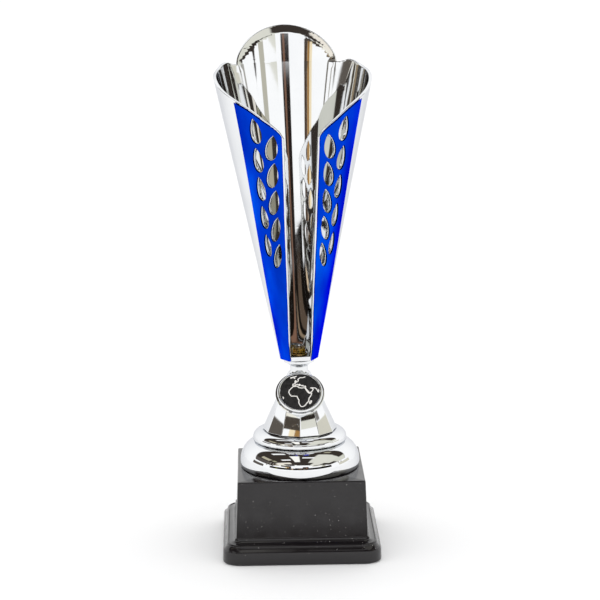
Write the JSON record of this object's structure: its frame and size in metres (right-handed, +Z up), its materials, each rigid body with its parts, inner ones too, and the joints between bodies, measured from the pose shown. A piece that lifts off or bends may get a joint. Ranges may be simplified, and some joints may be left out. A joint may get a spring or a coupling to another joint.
{
  "type": "column trophy",
  "caption": "Slim chromed cup with a front slot and blue perforated wings, on a faceted riser with a round emblem, domed foot and square black plinth.",
  "frame": {"origin": "centre of the plinth's underside, on the surface the trophy stands on", "axes": "+Z up along the tie rod, front faces -Y, +X to the right seen from the front"},
  "size_m": [0.0892, 0.0928, 0.2883],
  "materials": {
    "plinth_plastic": "glossy black moulded plastic",
    "bottom_card": "black card",
    "ballast": "cast cement",
    "plating": "bright chrome plating",
    "foam_tape": "double-sided foam tape",
    "printed_disc": "black printed foil",
    "blue_lacquer": "gloss blue lacquer over plating",
    "bright_zinc": "bright zinc plated",
    "yellow_zinc": "yellow zinc plated steel"
  },
  "bodies": {
    "base": {"plinth_shell": "plinth_plastic", "bottom_sheet": "bottom_card", "ballast_block": "ballast", "foot_lower_dome": "plating", "foot_upper_dome": "plating", "riser_column": "plating", "emblem_bezel": "plating", "emblem_pad": "foam_tape", "emblem_disc": "printed_disc", "tie_rod": "bright_zinc", "plinth_washer": "bright_zinc", "plinth_nut": "bright_zinc"},
    "cup": {"cup_collar": "plating", "cup_shell": "plating", "wing_skin_left": "blue_lacquer", "wing_skin_right": "blue_lacquer", "cup_washer": "yellow_zinc", "cup_nut": "yellow_zinc"}
  },
  "joints": [
    {"name": "cup_turn", "type": "hinge", "parent": "base", "child": "cup", "pos_m": [0, 0, 0.1027], "axis": [-0.0122, 0, 0.9999], "continuous": true}
  ]
}
